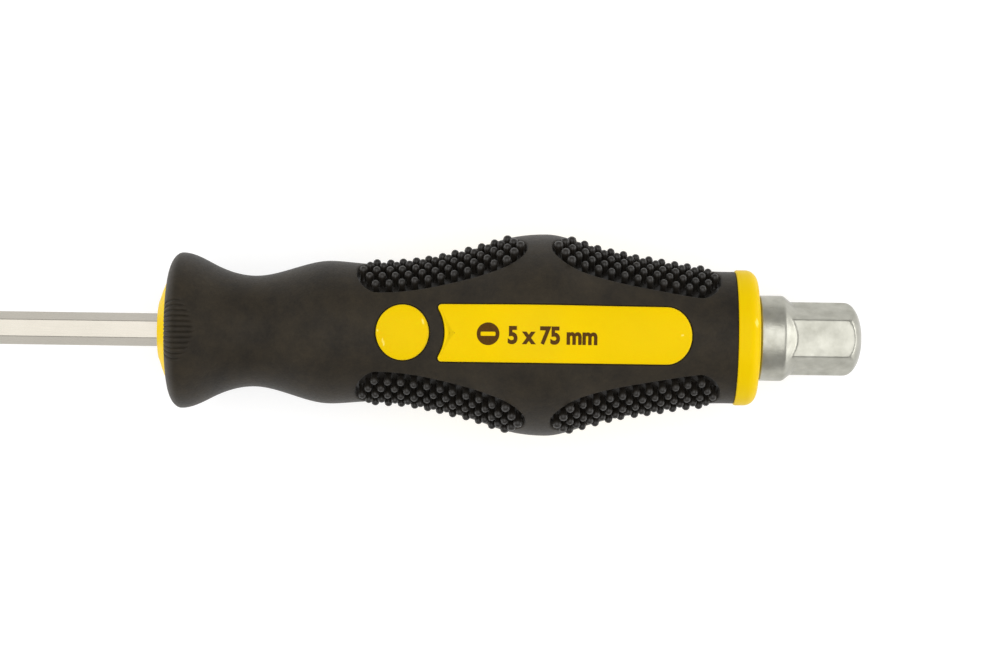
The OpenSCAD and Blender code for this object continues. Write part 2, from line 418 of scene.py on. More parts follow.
@dataclass(frozen=True)
class Palette:
    """The finishes of the tool."""

    # Drawn bar: fine lines along it, a bright satin gloss.
    blade: Finish = PlatedSteel(
        "satin_nickel_drawn_bar", "#b1aca2", "#aaa59b", (0.22, 0.34), 0.12, 0.002, 0.5, (0.04, 1, 1)
    )
    # Forged and blasted: low waves and tiny pits break up the gloss.
    cap: Finish = ForgedSteel(
        "satin_nickel_blasted_forging", "#b2b1a7", "#9a998f", (0.28, 0.44), 0.35, 0.06, patch_mm=2.5
    )
    # Moulded yellow: smooth, with a faint flow mottling and orange peel, and a painted highlight in paler
    # yellow along its rounded edges.
    yellow: Finish = Polypropylene(
        "polypropylene_yellow", "#e5c100", "#dfbc00", (0.34, 0.44), 0.6, 0.003, 0.5, specular=0.05,
        edge_highlight="#f2d860",
    )
    # Spark-eroded skin: a matte, slightly brown black. Its grain of 0.1 mm is drawn at 0.4 mm to show.
    soft: Finish = Elastomer(
        "elastomer_black_smooth", "#30291d", "#1b1711", (0.5, 0.64), 0.4, 0.016, 0.8, patch_mm=6.0,
        speckle=0.78, specular=0.16,
    )
    # Softer grade of the pads: darker, and polished where the mould's pin holes were drilled.
    pad: Finish = Elastomer(
        "elastomer_black_pins", "#1c1711", "#14110c", (0.34, 0.46), 0.3, 0.004, 0.5, specular=0.4,
        sheen=0.03,
    )
    # Pad-printed ink: thin, brown and slightly uneven.
    ink: Finish = Polypropylene(
        "pad_print_ink_brown", "#5a3804", "#4a3006", (0.45, 0.6), 0.15, 0.001, 0.4, patch_mm=0.4,
        specular=0.1,
    )


# ---------------------------------------------------------------------------
# Outlines of the grip
# ---------------------------------------------------------------------------
@dataclass
class GripOutline:
    """Radius of the soft grip along the handle, in millimetres from the nose face."""

    head: float = 13.4
    waist: float = 9.55
    hump: float = 12.3
    valley: float = 11.8
    belly: float = 17.35
    neck: float = 11.35
    rim_x: float = 1.65
    rim_r: float = 9.2
    crest_x: float = 3.95
    ring_x: float = 98.9

    @cached_property
    def stations(self) -> list[tuple[float, float, float]]:
        """Place, radius and slope of each station; a cubic joins each to the next."""
        return [
            (self.crest_x, self.head, 0.0),
            (9.2, mix(self.waist, self.head, 0.51), -(self.head - self.waist) / 7.4),
            (16.4, self.waist, 0.0),
            (23.2, mix(self.waist, self.hump, 0.53), (self.hump - self.waist) / 8.9),
            (29.4, self.hump, 0.0),
            (37.5, self.valley, 0.0),
            (48.0, mix(self.valley, self.belly, 0.23), (self.belly - self.valley) / 23),
            (56.8, mix(self.valley, self.belly, 0.69), (self.belly - self.valley) / 14),
            (66.4, self.belly, 0.0),
            (74.0, mix(self.neck, self.belly, 0.675), -(self.belly - self.neck) / 18),
            (85.0, mix(self.neck, self.belly, 0.25), -(self.belly - self.neck) / 33),
            (95.8, self.neck, -0.02),
            (self.ring_x, self.neck, 0.02),
        ]

    def radius(self, x: float) -> float:
        """Return the radius at a place along the handle.

        Args:
            x: Place from the nose face, in millimetres.

        Returns:
            Radius of the smooth skin there.
        """
        if x < self.crest_x:
            t = (self.crest_x - x) / (self.crest_x - self.rim_x)
            return self.rim_r + (self.head - self.rim_r) * math.sqrt(max(0.0, 1 - t * t))
        last = len(self.stations) - 2
        i = next((n for n in range(last) if x <= self.stations[n + 1][0]), last)
        (x0, r0, s0), (x1, r1, s1) = self.stations[i], self.stations[i + 1]
        h = x1 - x0
        t = (x - x0) / h
        u = 1 - t
        rise = u * u * (1 + 2 * t) * r0 + t * t * (1 + 2 * u) * r1
        return rise + u * u * t * h * s0 - t * t * u * h * s1

    def angle(self, x: float, y: float) -> float:
        """Return the angle in degrees at which the skin passes over a flat place."""
        return math.degrees(math.asin(y / self.radius(x)))

    def skin(self, x: float, angle: float, drop: float = 0.0) -> Vector:
        """Return a place on the skin, sunk by drop."""
        return polar(x, self.radius(x) - drop, angle)

    def skin_row(self, flat: Sequence[Flat], drop: float = 0.0) -> list[Vector]:
        """Return the places of a row of (x, angle) pairs, sunk by drop."""
        return [self.skin(x, angle, drop) for x, angle in flat]


class HalfOutline(Protocol):
    """Half of a closed outline on the skin, seen from above."""

    def trace(self, t: float, grow: float) -> Flat:
        """Return the flat place at t, from 0 at the front to 3 at the back."""
        ...


@dataclass(frozen=True)
class OvalOutline:
    """Outline of an oval inlay."""

    x: float = 42.15
    along: float = 4.5
    across: float = 4.75
    split: tuple[float, float, float, float] = (180.0, 104.0, 52.0, 0.0)

    def trace(self, t: float, grow: float) -> Flat:
        """Return the flat place at t, from 0 at the front to 3 at the back."""
        part = min(int(t), 2)
        a = math.radians(mix(self.split[part], self.split[part + 1], t - part))
        return self.x + (self.along + grow) * math.cos(a), (self.across + grow) * math.sin(a)


@dataclass(frozen=True)
class PanelOutline:
    """Outline of a size panel: a hollow front end, straight sides and a rounded back end."""

    hollow_x: float = 49.3
    back_x: float = 91.0
    width: float = 9.8
    hollow_r: float = 8.0
    corner_r: float = 0.6
    back_round: float = 4.3

    def trace(self, t: float, grow: float) -> Flat:
        """Return the flat place at t, from 0 at the front to 3 at the back."""
        w = self.width / 2 + grow
        c = self.corner_r + grow
        hollow = self.hollow_r - grow
        centre_x = self.hollow_x - self.hollow_r
        corner_x = centre_x + math.sqrt((hollow + c) ** 2 - (w - c) ** 2)
        lean = math.degrees(math.atan2(w - c, corner_x - centre_x))
        turn_x = self.back_x - self.back_round
        if t < 0.5:
            a = math.radians(mix(0, lean, t / 0.5))
            return centre_x + hollow * math.cos(a), hollow * math.sin(a)
        if t < 1:
            a = math.radians(mix(180 + lean, 90, (t - 0.5) / 0.5))
            return corner_x + c * math.cos(a), w - c + c * math.sin(a)
        if t <= 2:
            return mix(corner_x, turn_x, t - 1), w
        a = math.radians(mix(90, 0, t - 2))
        return turn_x + (self.back_round + grow) * math.cos(a), w * math.sin(a)


@dataclass(frozen=True)
class PadOutline:
    """Outline of a pimpled pad: straight sides and half-ellipse ends."""

    x: float
    front_end: float
    back_end: float
    length: float = 29.0
    width: float = 9.8

    @property
    def belly_is_behind(self) -> bool:
        """The longer end of a pad points to the belly."""
        return self.back_end > self.front_end

    def trace(self, t: float, grow: float) -> Flat:
        """Return the flat place at t, from 0 at the front to 3 at the back."""
        half = self.width / 2 + grow
        front_x = self.x - self.length / 2 + self.front_end
        back_x = self.x + self.length / 2 - self.back_end
        if t < 1:
            a = math.radians(mix(180, 90, t))
            return front_x + (self.front_end + grow) * math.cos(a), half * math.sin(a)
        if t <= 2:
            return mix(front_x, back_x, t - 1), half
        a = math.radians(mix(90, 0, t - 2))
        return back_x + (self.back_end + grow) * math.cos(a), half * math.sin(a)


GRIP = GripOutline()
OVAL = OvalOutline()
PANEL = PanelOutline()
FRONT_PAD = PadOutline(x=48.55, front_end=3.8, back_end=5.6)
REAR_PAD = PadOutline(x=81.7, front_end=5.6, back_end=3.8)


@dataclass
class Cell:
    """Half of one field of the skin around an outline, from its middle line to the seam.

    The field's rim and the outline are traced by the same parameter, so that each vertex of the
    rim has its partner on the outline.
    """

    outline: HalfOutline
    front_angles: Sequence[float]
    xs: Sequence[float]
    back_angles: Sequence[float]

    @cached_property
    def rim(self) -> list[Flat]:
        """Rim of the field as (x, angle) pairs."""
        front = [(self.xs[0], a) for a in self.front_angles]
        seam = [(x, self.front_angles[-1]) for x in self.xs[1:]]
        back = [(self.xs[-1], a) for a in reversed(self.back_angles[:-1])]
        return front + seam + back

    @cached_property
    def parameters(self) -> list[float]:
        """Place along the outline of each vertex of the rim."""
        counts = (len(self.front_angles) - 1, len(self.xs) - 1, len(self.back_angles) - 1)
        made = [part + i / n for part, n in enumerate(counts) for i in range(n)]
        return [*made, 3.0]

    def line(self, grow: float) -> list[Flat]:
        """Return the outline, grown, as (x, angle) pairs."""
        flat = (self.outline.trace(t, grow) for t in self.parameters)
        return [(x, GRIP.angle(x, y)) for x, y in flat]

    def middle(self, grow: float = 0.0, squeeze: float = 0.9) -> list[Flat]:
        """Return the middle line, a little shorter than the outline."""
        flat = self.line(grow)
        centre = (flat[0][0] + flat[-1][0]) / 2
        return [(centre + (x - centre) * squeeze, 0.0) for x, _ in flat]

    @staticmethod
    def between(a: Sequence[Flat], b: Sequence[Flat], t: float) -> list[Flat]:
        """Return the row a share t of the way from row a to row b."""
        return [(mix(p[0], q[0], t), mix(p[1], q[1], t)) for p, q in zip(a, b)]


def even_pitch(start: float, stop: float, pitch: float) -> list[float]:
    """Return even steps from start to stop, about a pitch apart."""
    return steps(start, stop, max(1, round((stop - start) / pitch)))


COLLAR_BACK = 3.4  # the nose collar's back face, where the sleeve's inner side starts
SEAM = 30.0  # degrees from a middle line to the seam of two fields
PITCH = 0.7  # length of the skin's faces
CELL_X0 = 32.2  # the fields with outlines start here
OVAL_X1 = 47.1
PAD_SPLIT_X = 65.2
CELL_X1 = 97.8
SEAM_XS = sorted(
    {
        *even_pitch(CELL_X0, OVAL_X1, PITCH),
        *even_pitch(OVAL_X1, PAD_SPLIT_X, PITCH),
        *even_pitch(PAD_SPLIT_X, CELL_X1, PITCH),
    }
)
PLAIN_ANGLES = steps(0, SEAM, 14)


@dataclass(frozen=True)
class Ribs:
    """Fine grooves over the front edge of the head."""

    first: float = 2.0
    apart: float = 4.0
    count: int = 6
    half_width: float = 1.0
    depth: float = 0.25
    long_end: float = 7.3
    short_end: float = 5.2
    fade: float = 0.9

    @property
    def middles(self) -> list[float]:
        """Angles of the grooves on one side of the middle line."""
        return [self.first + i * self.apart for i in range(self.count)]

    @property
    def angles(self) -> list[float]:
        """Angles of the skin's vertices, close together at each groove."""
        shares = (-1.0, -0.5, 0.0, 0.5, 1.0)
        grooves = [m + s * self.half_width for m in self.middles for s in shares]
        lands = [m + self.apart / 2 for m in self.middles]
        return sorted({0.0, *grooves, *lands, 26.0, 28.0, SEAM})

    def depth_at(self, x: float, angle: float) -> float:
        """Return how deep the skin is cut at a place."""
        off = min(abs(angle - m) for m in self.middles) / self.half_width
        end = mix(self.long_end, self.short_end, (angle / self.middles[-1]) ** 2)
        return self.depth * (1 - ease(off)) * ease((end - x) / self.fade)


RIBS = Ribs()


def xs_between(start: float, stop: float) -> list[float]:
    """Return the seam's places between two of its own."""
    return [x for x in SEAM_XS if start - 1e-6 <= x <= stop + 1e-6]


OVAL_CELL = Cell(OVAL, RIBS.angles, xs_between(CELL_X0, OVAL_X1), PLAIN_ANGLES)
PANEL_CELL = Cell(PANEL, PLAIN_ANGLES, xs_between(OVAL_X1, CELL_X1), PLAIN_ANGLES)
FRONT_PAD_CELL = Cell(FRONT_PAD, PLAIN_ANGLES, xs_between(CELL_X0, PAD_SPLIT_X), PLAIN_ANGLES)
REAR_PAD_CELL = Cell(REAR_PAD, PLAIN_ANGLES, xs_between(PAD_SPLIT_X, CELL_X1), PLAIN_ANGLES)


# ---------------------------------------------------------------------------
# Soft plastic
# ---------------------------------------------------------------------------
@dataclass
class GripSleeve:
    """The soft sleeve with its windows, pockets and ribbed front edge."""

    thickness: float = 2.4
    window_gap: float = 0.15
    window_round: float = 0.22
    pocket_round: float = 0.3
    pocket_depth: float = 1.7
    skin_rows: int = 7
    wall_middle: float = 1.0
    end_round: float = 0.25

    def rounded(self, cell: Cell, gap: float, radius: float) -> list[list[Vector]]:
        """Return the rows from a wall's top over its rounded edge onto the skin."""
        rows = []
        for a in (0, 22, 45, 68, 90):
            t = math.radians(a)
            line = cell.line(gap + radius * (1 - math.cos(t)))
            rows.append(GRIP.skin_row(line, radius * (1 - math.sin(t))))
        start = cell.line(gap + radius)
        for i in range(1, self.skin_rows + 1):
            share = (i / self.skin_rows) ** 1.3
            rows.append(GRIP.skin_row(cell.between(start, cell.rim, share)))
        return rows

    def window(self, bm: bmesh.types.BMesh, cell: Cell) -> None:
        """Add a field with a window right through the sleeve."""
        gap = self.window_gap
        wall = cell.line(gap)
        rows = [
            GRIP.skin_row(cell.rim, self.thickness),
            GRIP.skin_row(wall, self.thickness),
            GRIP.skin_row(wall, self.wall_middle),
        ]
        loft(bm, rows + self.rounded(cell, gap, self.window_round))

    def pocket(self, bm: bmesh.types.BMesh, cell: Cell) -> None:
        """Add a field with a pocket, and the sleeve's inner side behind it."""
        floor = cell.line(0.0)
        rows = [
            GRIP.skin_row(cell.middle(), self.pocket_depth),
            GRIP.skin_row(cell.between(cell.middle(), floor, 0.5), self.pocket_depth),
            GRIP.skin_row(floor, self.pocket_depth),
        ]
        loft(bm, rows + self.rounded(cell, 0.0, self.pocket_round))
        flat_middle = [(x, 0.0) for x, _ in cell.rim]
        loft(
            bm,
            [
                GRIP.skin_row(cell.rim, self.thickness),
                GRIP.skin_row(cell.between(cell.rim, flat_middle, 0.5), self.thickness),
                GRIP.skin_row(flat_middle, self.thickness),
            ],
        )

    def front(self, bm: bmesh.types.BMesh, angles: Sequence[float], ribbed: bool) -> None:
        """Add the sleeve from its inner side round the head's front edge to the fields.

        Args:
            bm: Mesh of the half field.
            angles: Angles of its vertices.
            ribbed: Whether the grooves are cut.
        """
        inner = [
            (x, GRIP.radius(x) - self.thickness) for x in reversed(even_pitch(COLLAR_BACK, CELL_X0, 3))
        ]
        seat = [(COLLAR_BACK, GRIP.rim_r), (GRIP.rim_x + 0.05, GRIP.rim_r - 0.02)]
        edge = []
        for a in steps(0, 90, 14):
            t = math.radians(a)
            x = GRIP.crest_x - (GRIP.crest_x - GRIP.rim_x) * math.cos(t)
            edge.append((x, mix(GRIP.rim_r, GRIP.head, math.sin(t))))
        fine = even_pitch(GRIP.crest_x, RIBS.long_end, 0.3)[1:]
        plain = even_pitch(RIBS.long_end, CELL_X0, PITCH)[1:]
        skin = edge + [(x, GRIP.radius(x)) for x in fine + plain]
        rows = [[polar(x, r, a) for a in angles] for x, r in inner + seat]
        for i, (x, r) in enumerate(skin):
            before, after = skin[max(0, i - 1)], skin[min(len(skin) - 1, i + 1)]
            dx, dr = after[0] - before[0], after[1] - before[1]
            long = math.hypot(dx, dr)
            cuts = [RIBS.depth_at(x, a) if ribbed else 0.0 for a in angles]
            rows.append(
                [polar(x + cut * dr / long, r - cut * dx / long, a) for a, cut in zip(angles, cuts)]
            )
        loft(bm, rows)

    def back(self, bm: bmesh.types.BMesh, angles: Sequence[float]) -> None:
        """Add the sleeve's rounded end in front of the butt ring."""
        x1 = GRIP.ring_x
        radius = self.end_round
        outer = [(x, GRIP.radius(x)) for x in (CELL_X1, mix(CELL_X1, x1, 0.4))]
        for a in (0, 30, 60, 90):
            t = math.radians(a)
            outer.append((x1 - radius + radius * math.sin(t), GRIP.neck - radius * (1 - math.cos(t))))
        inner = GRIP.radius(CELL_X1) - self.thickness
        profile = [*outer, (x1, inner), (CELL_X1, inner)]
        loft(bm, [[polar(x, r, a) for a in angles] for x, r in profile])

    def build(self, palette: Palette) -> None:
        """Build the sleeve from its two kinds of sector, three of each."""
        bm = bmesh.new()
        windows = bmesh.new()
        self.front(windows, RIBS.angles, ribbed=True)
        self.window(windows, OVAL_CELL)
        self.window(windows, PANEL_CELL)
        self.back(windows, PLAIN_ANGLES)
        pockets = bmesh.new()
        self.front(pockets, PLAIN_ANGLES, ribbed=False)
        self.pocket(pockets, FRONT_PAD_CELL)
        self.pocket(pockets, REAR_PAD_CELL)
        self.back(pockets, PLAIN_ANGLES)
        for sector, turns in (
            (windows, (Turn.TOP, Turn.LEFT, Turn.RIGHT)),
            (pockets, (Turn.PAD_LEFT, Turn.PAD_BOTTOM, Turn.PAD_RIGHT)),
        ):
            mirror_half(sector)
            for turn in turns:
                add_copy(bm, sector, turned(turn))
            sector.free()
        finish_piece(bm, "sleeve_moulded", palette.soft.material(), ["grip_sleeve"], 55)


@dataclass
class PimpledPads:
    """The six soft pads with their pins."""

    # The floor lies 0.25 mm deeper than the CAD pad's, so the gaps between the pins are darker.
    floor: float = 1.5
    depth: float = 1.68
    gap: float = 0.02
    pins: int = 13
    rows: int = 5
    row_step: float = 1.8
    pin_step: float = 2.22
    height: float = 2.55
    head: float = 0.71
    swell: float = 1.13
    sides: int = 12
    tilt: float = 2.5
    seed: int = 7
    chance: random.Random = field(default_factory=random.Random)

    def pin(self) -> bmesh.types.BMesh:
        """Return one pin, standing along Z on a floor at zero, with a teardrop head."""
        head = self.head
        profile = [
            (head, -0.1),
            (0.72 * head, 0.3),
            (0.82 * head, self.height - 1.9 * head),
            (head, self.height - head),
            (0.8 * head, self.height - 0.38 * head),
            (0.42 * head, self.height - 0.08 * head),
            (0.0, self.height),
        ]
        around = [2 * math.pi * i / self.sides for i in range(self.sides)]
        bm = bmesh.new()
        loft(
            bm,
            [[Vector((r * math.cos(a), r * math.sin(a), z)) for a in around] for r, z in profile],
            closed=True,
        )
        weld(bm)
        return bm

    def pin_place(self, x: float, arc: float, swell: float) -> Matrix:
        """Return the place of a pin at x, an arc in millimetres from the middle line."""
        r = GRIP.radius(x)
        round_axis = Matrix.Rotation(-arc / r, 4, "X")
        lean_x, lean_y = (math.radians(self.chance.uniform(-self.tilt, self.tilt)) for _ in "xy")
        lean = Matrix.Rotation(lean_x, 4, "X") @ Matrix.Rotation(lean_y, 4, "Y")
        wide = swell * self.chance.uniform(0.98, 1.02)
        size = Matrix.Diagonal((wide, wide, self.chance.uniform(0.97, 1.03), 1))
        return round_axis @ Matrix.Translation((x, 0, r - self.floor)) @ lean @ size

    def build_pad(self, cell: Cell, turn: Turn, name: str, node: str, look: bpy.types.Material) -> None:
        """Build one pad: a floor that fills its pocket, and its rows of pins.

        Args:
            cell: Field of the skin that holds the pad.
            turn: Turn of the pad about the axis.
            name: Name of the piece.
            node: CAD node that it stands for.
            look: Its material.
        """
        bm = bmesh.new()
        edge = cell.line(-self.gap)
        middle = cell.middle(-self.gap)
        rows = [GRIP.skin_row(cell.between(middle, edge, t), self.floor) for t in steps(0, 1, 6)]
        rows += [
            GRIP.skin_row(edge, self.depth),
            GRIP.skin_row(cell.between(middle, edge, 0.5), self.depth),
            GRIP.skin_row(middle, self.depth),
        ]
        loft(bm, rows)
        mirror_half(bm)
        pin = self.pin()
        for row in range(self.rows):
            off = row - (self.rows - 1) / 2
            count = self.pins - int(abs(off))
            at_belly = count - 1 if cell.outline.belly_is_behind else 0
            for i in range(count):
                x = cell.outline.x + (i - (count - 1) / 2) * self.pin_step
                swell = self.swell if i == at_belly else 1.0
                add_copy(bm, pin, self.pin_place(x, off * self.row_step, swell))
        pin.free()
        bmesh.ops.transform(bm, matrix=turned(turn), verts=bm.verts)
        finish_piece(bm, name, look, [node], 50)

    def build(self, palette: Palette) -> None:
        """Build the front and the rear pad of each gap between the panels."""
        self.chance.seed(self.seed)
        look = palette.pad.material()
        sides = {Turn.PAD_LEFT: "left", Turn.PAD_BOTTOM: "bottom", Turn.PAD_RIGHT: "right"}
        for turn, side in sides.items():
            for end, cell in (("front", FRONT_PAD_CELL), ("rear", REAR_PAD_CELL)):
                node = f"{end}_pad_{side}"
                self.build_pad(cell, turn, f"pins_{end}_{side}", node, look)


# ---------------------------------------------------------------------------
# Yellow pieces
# ---------------------------------------------------------------------------
@dataclass
class Inlays:
    """The size panels and the oval inlays, with rounded edges."""

    proud: float = 0.15
    rounding: float = 0.35
    depth: float = 2.3
    rows: int = 9

    def inlay(self, cell: Cell) -> bmesh.types.BMesh:
        """Return one inlay under the top middle line."""
        bm = bmesh.new()
        top = cell.line(-self.rounding)
        middle = cell.middle(-self.rounding, 0.93)
        rows = [
            GRIP.skin_row(cell.between(middle, top, t), -self.proud) for t in steps(0, 1, self.rows)
        ]
        for a in (25, 50, 75, 90):
            t = math.radians(a)
            line = cell.line(-self.rounding * (1 - math.sin(t)))
            rows.append(GRIP.skin_row(line, self.rounding * (1 - math.cos(t)) - self.proud))
        rows += [
            GRIP.skin_row(cell.line(0.0), self.depth),
            GRIP.skin_row(cell.between(middle, top, 0.5), self.depth),
            GRIP.skin_row(middle, self.depth),
        ]
        loft(bm, rows)
        mirror_half(bm)
        return bm

    def build(self, palette: Palette) -> None:
        """Build three of each."""
        look = palette.yellow.material()
        for kind, cell, node in (
            ("size_panel", PANEL_CELL, "size_panel"),
            ("oval", OVAL_CELL, "oval_inlay"),
        ):
            for turn in (Turn.TOP, Turn.LEFT, Turn.RIGHT):
                side = turn.name.lower()
                bm = self.inlay(cell)
                bmesh.ops.transform(bm, matrix=turned(turn), verts=bm.verts)
                finish_piece(bm, f"{kind}_moulded_{side}", look, [f"{node}_{side}"], 55)


@dataclass
class SizeMarking:
    """Pad print on the top panel: a disc with a slotted head's bar, and the nominal size."""

    text: str = "5 x 75 mm"
    digit_height: float = 3.1
    text_x: float = 59.9
    text_end: float = 74.9
    base_y: float = -1.85
    bold: float = 0.04
    disc_x: float = 56.6
    disc_y: float = -0.1
    disc_r: float = 1.9
    bar: tuple[float, float] = (2.5, 0.7)
    lift: float = 0.015
    cell_mm: float = 0.4
    span_y: tuple[float, float] = (-2.4, 2.0)

    def lettering(self) -> bmesh.types.BMesh:
        """Return the text as a flat mesh that fills its place on the panel."""
        curve = bpy.data.curves.new("size_text", "FONT")
        curve.body = self.text
        curve.offset = self.bold
        holder = bpy.data.objects.new("size_text", curve)
        bpy.context.scene.collection.objects.link(holder)
        bpy.context.view_layer.update()
        mesh = bpy.data.meshes.new_from_object(holder)
        bm = bmesh.new()
        bm.from_mesh(mesh)
        bpy.data.objects.remove(holder)
        bpy.data.curves.remove(curve)
        bpy.data.meshes.remove(mesh)
        xs = [v.co.x for v in bm.verts]
        ys = [v.co.y for v in bm.verts]
        along = (self.text_end - self.text_x) / (max(xs) - min(xs))
        up = self.digit_height / (max(ys) - min(ys))
        bmesh.ops.translate(bm, verts=bm.verts, vec=(-min(xs), -min(ys), 0))
        bmesh.ops.scale(bm, verts=bm.verts, vec=(along, up, 1))
        bmesh.ops.translate(bm, verts=bm.verts, vec=(self.text_x, self.base_y, 0))
        return bm

    def disc(self) -> bmesh.types.BMesh:
        """Return the disc, with the bar left open, as a flat mesh."""
        bm = bmesh.new()
        half, thick = self.bar[0] / 2, self.bar[1] / 2
        around = [math.radians(a) for a in steps(0, 360, 64)[:-1]]
        rim = [Vector((math.cos(a), math.sin(a), 0)) * self.disc_r for a in around]
        slot = []
        for place in rim:
            push = min(half / max(abs(place.x), 1e-9), thick / max(abs(place.y), 1e-9))
            slot.append(place * min(1.0, push))
        loft(bm, [rim, [r.lerp(s, 0.5) for r, s in zip(rim, slot)], slot], closed=True)
        bmesh.ops.translate(bm, verts=bm.verts, vec=(self.disc_x, self.disc_y, 0))
        return bm

    def build(self, palette: Palette, proud: float) -> None:
        """Lay the print on the panel's curved face.

        Args:
            palette: Finishes of the tool.
            proud: Height of the panel over the grip's outline.
        """
        bm = self.lettering()
        disc = self.disc()
        add_copy(bm, disc, Matrix.Identity(4))
        disc.free()
        x0, x1 = self.disc_x - self.disc_r, self.text_end
        cuts = [((x, 0, 0), (1, 0, 0)) for x in even_pitch(x0, x1, self.cell_mm)]
        cuts += [((0, y, 0), (0, 1, 0)) for y in even_pitch(*self.span_y, self.cell_mm)]
        for place, normal in cuts:
            geom = [*bm.verts, *bm.edges, *bm.faces]
            bmesh.ops.bisect_plane(bm, geom=geom, dist=1e-5, plane_co=place, plane_no=normal)
        for vert in bm.verts:
            r = GRIP.radius(vert.co.x) + proud + self.lift
            vert.co.z = math.sqrt(r * r - vert.co.y**2)
        bmesh.ops.remove_doubles(bm, verts=bm.verts, dist=1e-4)
        bmesh.ops.recalc_face_normals(bm, faces=bm.faces)
        if sum(face.normal.z for face in bm.faces) < 0:
            bmesh.ops.reverse_faces(bm, faces=bm.faces)
        film = bmesh.ops.extrude_face_region(bm, geom=bm.faces[:], use_keep_orig=True)["geom"]
        top = [part for part in film if isinstance(part, bmesh.types.BMVert)]
        bmesh.ops.translate(bm, verts=top, vec=(0, 0, self.lift))
        finish_piece(bm, "size_marking", palette.ink.material(), [], 40)


def circle_row(x: float, r: float, count: int) -> list[Vector]:
    """Return a ring of places around the axis."""
    return [polar(x, r, 360 * i / count) for i in range(count)]


def faceted_row(
    x: float, planes: Sequence[Flat], crispness: float, count: int, scale: float = 1.0
) -> list[Vector]:
    """Return a section that stays inside all planes, with its corners slightly rounded.

    Args:
        x: Place of the section along the handle.
        planes: Direction in degrees and distance of each plane from the axis.
        crispness: The higher, the sharper the corners.
        count: Number of places around the axis.
        scale: Size of the section against the planes' own.

    Returns:
        The ring of places.
    """
    row = []
    for i in range(count):
        angle = 360 * i / count
        shares = (max(0.0, math.cos(math.radians(angle - d))) / dist for d, dist in planes)
        row.append(polar(x, scale * sum(s**crispness for s in shares) ** (-1 / crispness), angle))
    return row


def hexagon(across: float) -> list[Flat]:
    """Return the planes of a hexagon with flats above and below."""
    return [(60.0 * i, across / 2) for i in range(6)]


@dataclass
class Mouldings:
    """The nose collar and the butt ring, each with its spigot and the blade's hexagonal hole."""

    count: int = 144
    hole: float = 5.06
    hole_edge: float = 0.12
    hole_flare: float = 1.03
    hole_crispness: float = 60.0
    spigot_r: float = 6.5
    spigot_len: float = 7.0
    face_r: float = 5.2
    face_edge: float = 0.12
    crown: float = 0.12
    rim_gap: float = 0.04
    ring_proud: float = 0.3
    ring_edge: float = 0.28
    ring_bevel: float = 0.3
    cap_seat: tuple[float, float] = (7.6, 7.2)
    ring_round: float = 2.1

    def around_hole(self, profile: Sequence[Flat], x0: float, x1: float) -> bmesh.types.BMesh:
        """Return a turned shape with a hexagonal hole from x0 to x1.

        Args:
            profile: Place along the handle and radius of each ring, from the front face on.
            x0: Front end of the hole.
            x1: Back end of the hole.

        Returns:
            The closed shape.
        """
        bm = bmesh.new()
        planes = hexagon(self.hole)
        places = ((x1, 1.0), (x0 + self.hole_edge, 1.0), (x0, self.hole_flare))
        rows = [faceted_row(x, planes, self.hole_crispness, self.count, size) for x, size in places]
        rows += [circle_row(x, r, self.count) for x, r in profile]
        rows.append(rows[0])
        loft(bm, rows, closed=True)
        return bm

    def nose_profile(self) -> list[Flat]:
        """Return the collar from its flat face over the slightly crowned cone to the spigot."""
        rim_r = GRIP.rim_r - self.rim_gap
        cone = []
        for t in steps(0, 1, 12):
            crown = self.crown * math.sin(math.pi * t)
            x = mix(self.face_edge, GRIP.rim_x, t) - 0.5 * crown
            cone.append((x, mix(self.face_r + self.face_edge, rim_r, t) + crown))
        return [
            (0.0, self.face_r - 0.9),
            (0.0, self.face_r - 0.25),
            (0.03, self.face_r),
            *cone,
            (COLLAR_BACK - 0.02, rim_r),
            (COLLAR_BACK, self.spigot_r),
            (COLLAR_BACK + self.spigot_len, self.spigot_r),
        ]

    def ring_profile(self) -> list[Flat]:
        """Return the ring from its spigot over the rim to the rounded back."""
        r = GRIP.neck + self.ring_proud
        x0, x1 = GRIP.ring_x, HANDLE_LEN
        front = []
        for a in steps(0, 90, 5):
            t = math.radians(a)
            edge = self.ring_edge
            front.append((x0 + edge * (1 - math.cos(t)), r - edge * (1 - math.sin(t))))
        rounded = []
        for a in steps(90, 4, 14):
            t = math.radians(a)
            x = x1 - self.ring_bevel - self.ring_round * (1 - math.cos(t))
            rounded.append((x, r - self.ring_round * (1 - math.sin(t))))
        back = [(x1 - 0.8 * self.ring_bevel, r - self.ring_round - self.ring_bevel)]
        back += [(x1, seat_r) for seat_r in self.cap_seat]
        return [
            (x0 - self.spigot_len, self.spigot_r),
            (x0, self.spigot_r),
            (x0, r - 0.5),
            *front,
            *rounded,
            *back,
        ]

    def build(self, palette: Palette) -> None:
        """Build both."""
        look = palette.yellow.material()
        collar = self.around_hole(self.nose_profile(), 0.0, COLLAR_BACK + self.spigot_len)
        finish_piece(collar, "nose_collar_moulded", look, ["nose_collar"], 50)
        profile = self.ring_profile()
        ring = self.around_hole(profile, profile[0][0], profile[-1][0])
        finish_piece(ring, "butt_ring_moulded", look, ["butt_ring"], 50)


